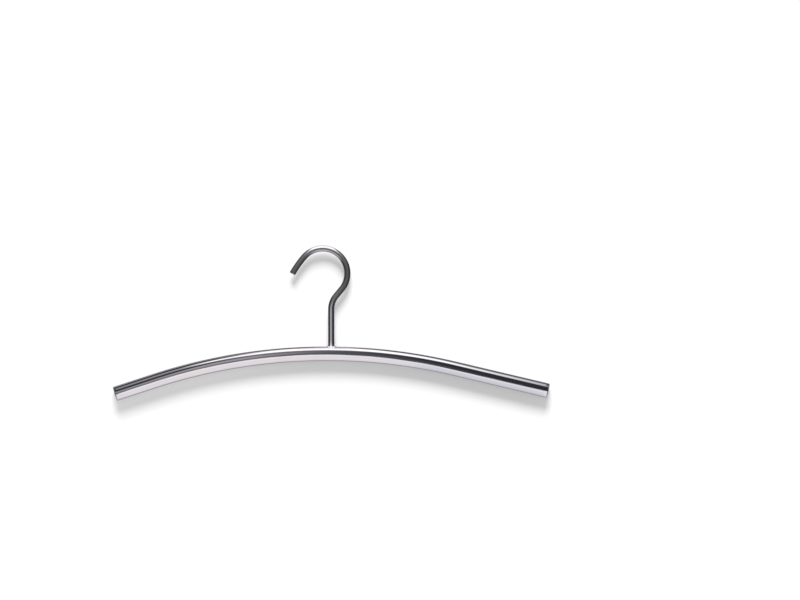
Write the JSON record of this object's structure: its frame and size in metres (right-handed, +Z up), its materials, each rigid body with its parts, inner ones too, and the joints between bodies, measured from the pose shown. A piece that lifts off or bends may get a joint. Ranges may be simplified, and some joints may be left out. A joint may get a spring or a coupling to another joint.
{
  "type": "clothes hanger",
  "caption": "Arched garment hanger of polished round steel tube, with a bent rod hook welded to the top of the arch and crowned end plugs",
  "frame": {"origin": "The hook's seat: the inside top of the hook's round, where a wardrobe rail bears, in the middle of the rod", "axes": "+X along the bar from the hook's open side to its neck side, +Y through the thickness, +Z up; the hook's round and the bar both lie in the XZ plane"},
  "size_m": [0.4199, 0.014, 0.1489],
  "materials": {
    "tube_steel": "mirror-polished stainless steel",
    "rod_steel": "mirror-polished stainless steel",
    "weld_steel": "weld bead ground and polished flush",
    "plug_steel": "polished stainless steel"
  },
  "bodies": {
    "root": {"bar_tube": "tube_steel", "hook_rod": "rod_steel", "hook_weld": "weld_steel", "left_end_plug": "plug_steel", "right_end_plug": "plug_steel"}
  },
  "joints": []
}
